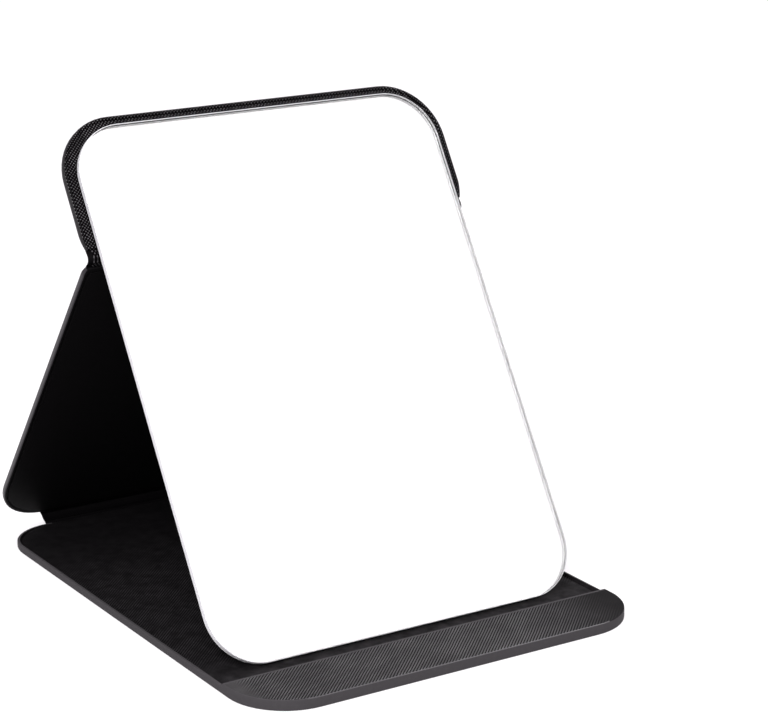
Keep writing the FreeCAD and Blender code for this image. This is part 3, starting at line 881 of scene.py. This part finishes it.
lining_low, lining_high = span("leg_lining", LEG)
spine_half = skin_high.x
crease_half = span("leg_skin", LEG)[1].x - CREASE_WAIST
inner_half = lining_high.x - CREASE_WAIST
skin_layer = (0.0, skin_thickness)
lining_layer = (skin_thickness, skin_thickness + lining_high.z - lining_low.z)
lower_bend = (SPINE, lower_turn)
upper_bend = (LEG, upper_turn)
cover_bend = (FLAP, -cover_turn)
outer_folds = {
    "lower_crease": ("lower_spine_fold", "lower_spine_hinge", spine_half, lower_bend, painted_light_spine_fold),
    "upper_crease": ("upper_spine_fold", "upper_spine_hinge", spine_half, upper_bend, painted_light_spine_fold),
    "cover_crease": ("cover_fold_skin", "cover_hinge", crease_half, cover_bend, painted_shade_crease),
}
for name, (node, joint, half, bend, film) in outer_folds.items():
    bent_fold(name, node, joint, half, bend, skin_layer, [film, fold_lining])
bent_fold(
    "cover_crease_lining", "cover_fold_lining", "cover_hinge", inner_half, cover_bend, lining_layer,
    [border_leather, border_leather],
)

# %% [markdown]
# ## The spine
# The spine is a strip as wide as the closed case is thick.  A flat strip would look like a third board, but
# with no board in it the leather stands out in a low crown between its two folds.  A narrower strip lines it
# inside and follows the same crown.

# %% Make the spine
SPINE_CROWN = 0.2 * MM
SPINE_STEPS = 10


def spine_strip(name, node, finishes):
    """A strip of the spine, between its folds, crowned outward in a parabola."""
    low, high = span(node, SPINE)
    path = []
    for step in range(SPINE_STEPS + 1):
        share = step / SPINE_STEPS
        swell = SPINE_CROWN * 4 * share * (1 - share)
        y = low.y + (high.y - low.y) * share
        path.append([Vector((y, low.z - swell)), Vector((y, high.z - swell))])
    piece = strip_mesh(name, high.x, path, SPINE, finishes)
    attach(piece, "spine")
    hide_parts(node)


spine_strip("spine_cover", "spine_skin", [painted_light_spine_fold, fold_lining])
spine_strip("spine_inner_lining", "spine_lining", [fold_lining, fold_lining])

# %% [markdown]
# ## The glass
# The plate is cut, its edge is ground square on a belt, and both rims get a narrow flat, the arris, so
# that they don't cut a hand.  A thin pane would show the outline, but the pale edge that the photograph
# shows is the plate's real thickness.  So the plate is one closed solid with four finishes: polished faces,
# the frosted edge with its front arris, and the back arris with the backing paint that has run over it,
# which is grey below the flap and, beside it, near black as painted shade for the leather behind.

# %% Make the glass
GLASS_ARRIS = 0.3 * MM
FACE, EDGE, BACK, BESIDE_FLAP = range(4)
glass_low, glass_high = span("mirror_glass", FLAP)
glass_corner = round_corner(glass_radius)
arris = [(GLASS_ARRIS, 0.0, "outer"), (0.0, GLASS_ARRIS, "outer")]
arris += [(inset, depth, "inner") for inset, depth, _ in reversed(arris)]

mesh = bmesh.new()
# The plate's sides are divided where the flap begins, which is where Y starts
flap_start = [0.0]
shape = (glass_high.x, (glass_low.y, glass_high.y), (glass_corner, glass_corner), flap_start)
rings = ring_stack(mesh, shape, arris, flat_levels(flap_start, outer=glass_low.z, inner=glass_high.z))
join_rings(mesh, rings[:2], BACK)
join_rings(mesh, rings[1:], EDGE)
# Back arris faces beside the flap take the near black paint: painted shade
for face in mesh.faces:
    if face.material_index == BACK and face.calc_center_median().y > 0:
        face.material_index = BESIDE_FLAP
for ring in (rings[0], rings[-1]):
    close_across(mesh, ring, side_count(flap_start) - 1, FACE)
plate_finishes = [float_glass, ground_edge, thin_paint, painted_shade_arris]
mirror_plate = finish_piece(mesh, "mirror_plate", FLAP, plate_finishes)
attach(mirror_plate, "mirror")
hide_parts("mirror_glass")

# %% [markdown]
# ## The solids that stay
# The silver, the backing, the tape and the boards are flat sheets with cut edges on the real object too.
# They could be drawn again, but the solids already have their whole shape, so they only get their finishes.

# %% Finish the solids that stay
kept_finishes = {
    "mirror_silvering": silver_coat,
    "mirror_backing": backing_paint,
    "mounting_tape": foam_tape,
    "base_board": grey_board,
    "stop_bar_board": grey_board,
    "leg_board": grey_board,
    "flap_board": grey_board,
}
for node, finish in kept_finishes.items():
    solid = frame["nodes"][node]
    solid.data.materials.clear()
    solid.data.materials.append(finish)
print("finished", len(kept_finishes), "solids that stay")

# %% [markdown]
# ## Floor and light
# The photograph is a plain studio shot: white all round, so that the mirror reflects white and the black
# leather picks up a soft grey sheen, and almost no shadow on the table.  Studios get that with a sheet of
# opal acrylic that is lit from below.  An even white surround would do, but it flattens the leather, so this
# one is bright overhead and dimmer at the walls.  Two soft boxes then shape the leather: a small one high on
# the right lights the bright line along the bar's front edge, which the turn's paler film strengthens as a
# painted highlight, and a large one high at the front left lights the grain.  Neither stands where the
# mirror would show it.

# %% Lay the table
FLOOR_HALF = 40.0
TABLE_GLOW = 0.5
TABLE_MOTTLE = 400.0 * MM

mesh = bmesh.new()
corners = [(-1, -1), (1, -1), (1, 1), (-1, 1)]
mesh.faces.new([mesh.verts.new((x * FLOOR_HALF, y * FLOOR_HALF, 0)) for x, y in corners])
# Cast opal acrylic: matt and even, and its glow from below takes the shadows away
table = mottled(
    "opal_acrylic_lit_sheet", TABLE_MOTTLE, "#a9a8a9", "#adacad", (0.7, 0.8),
    IOR=1.49, Specular_IOR_Level=0.2, Emission_Color=linear("#fffdff"), Emission_Strength=TABLE_GLOW,
)
floor = finish_piece(mesh, "studio_floor", Matrix.Identity(4), [table])

# %% Light the studio
CEILING_STRENGTH = 1.25
WALL_STRENGTH = 0.35
CEILING_FROM = 0.5
# Where each box stands and how wide it is, in metres, and its power in watts
SOFT_BOXES = {
    "right_box": ((0.75, -0.15, 0.95), 0.35, 3.5),
    "left_box": ((-0.7, -0.72, 0.94), 0.6, 20.0),
}

world = bpy.data.worlds.new("studio")
world.use_nodes = True
surround = world.node_tree.nodes["Background"]
surround.inputs["Color"].default_value = linear("#fffcff")
where = add_node(world, "ShaderNodeTexCoord", {})
height = add_node(world, "ShaderNodeSeparateXYZ", {}, Vector=where.outputs["Generated"])
from_wall_to_ceiling = {
    "interpolation_type": "SMOOTHSTEP", "From Min": 0.0, "From Max": CEILING_FROM,
    "To Min": WALL_STRENGTH, "To Max": CEILING_STRENGTH,
}
graded = add_node(world, "ShaderNodeMapRange", from_wall_to_ceiling, Value=height.outputs["Z"])
world.node_tree.links.new(graded.outputs[0], surround.inputs["Strength"])
bpy.context.scene.world = world

for name, (place, size, power) in SOFT_BOXES.items():
    lamp_data = bpy.data.lights.new(name, "AREA")
    lamp_data.size = size
    lamp_data.energy = power
    lamp = bpy.data.objects.new(name, lamp_data)
    lamp.location = place
    lamp.rotation_euler = Vector(place).to_track_quat("Z", "Y").to_euler()
    bpy.context.scene.collection.objects.link(lamp)
bpy.context.scene.view_settings.view_transform = "Standard"
print("studio: surround from", WALL_STRENGTH, "to", CEILING_STRENGTH, "with", len(SOFT_BOXES), "soft boxes")

# %% [markdown]
# ## The camera
# The camera stands to the left of the mirror, a little above it, and looks down.  A short lens could be set
# up close, but the base's two long edges hardly draw together in the photograph, which takes a long lens
# from further off.  Its place was worked out by laying the solids' outlines over the photograph's.

# %% Place the camera
IMAGE_WIDTH = 768
FOCAL_PIXELS = 2530.3
CAMERA_PLACE = Vector((-440.2, -738.4, 333.1)) * MM
CAMERA_AZIMUTH = math.radians(-32.6)
CAMERA_DIP = math.radians(16.19)

camera_data = bpy.data.cameras.new("camera")
camera_data.lens = FOCAL_PIXELS * camera_data.sensor_width / IMAGE_WIDTH
camera = bpy.data.objects.new("camera", camera_data)
camera.location = CAMERA_PLACE
camera.rotation_euler = (math.pi / 2 - CAMERA_DIP, 0, CAMERA_AZIMUTH)
bpy.context.scene.collection.objects.link(camera)
bpy.context.scene.camera = camera
print("lens", round(camera_data.lens, 1), "mm")
